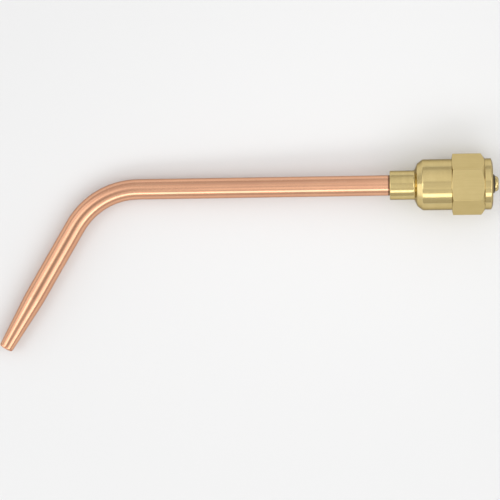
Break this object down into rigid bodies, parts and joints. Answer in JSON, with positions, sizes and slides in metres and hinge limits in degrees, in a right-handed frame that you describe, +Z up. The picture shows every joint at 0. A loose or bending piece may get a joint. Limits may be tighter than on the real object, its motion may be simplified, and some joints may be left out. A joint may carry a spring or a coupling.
{
  "type": "torch heating nozzle",
  "caption": "Bent copper flame tube with a drilled tip, brazed into a sealed brass mixer that a loose hexagon coupling nut pulls into a torch handle.",
  "frame": {"origin": "on the surface it lies on, under the middle of its bounding box", "axes": "+X along the tube towards the handle end, rising 2.6 degrees with it; +Y across, away from the side that the leg bends to; +Z up"},
  "size_m": [0.1952, 0.0744, 0.0213],
  "materials": {
    "copper": "bare drawn copper, satin",
    "brass": "bare turned brass, satin",
    "seal_rubber": "black nitrile, smooth",
    "silver_braze": "as flowed"
  },
  "bodies": {
    "tube_and_mixer": {"flame_tube": "copper", "mixer_body": "brass", "braze_fillet": "silver_braze", "front_o_ring": "seal_rubber", "rear_o_ring": "seal_rubber"},
    "coupling_nut": {"coupling_nut": "brass"}
  },
  "joints": [
    {"name": "nut_spin", "type": "hinge", "parent": "tube_and_mixer", "child": "coupling_nut", "pos_m": [0.09459, 0.02528, 0.01111], "axis": [0.9989, 0, 0.0465], "continuous": true}
  ]
}
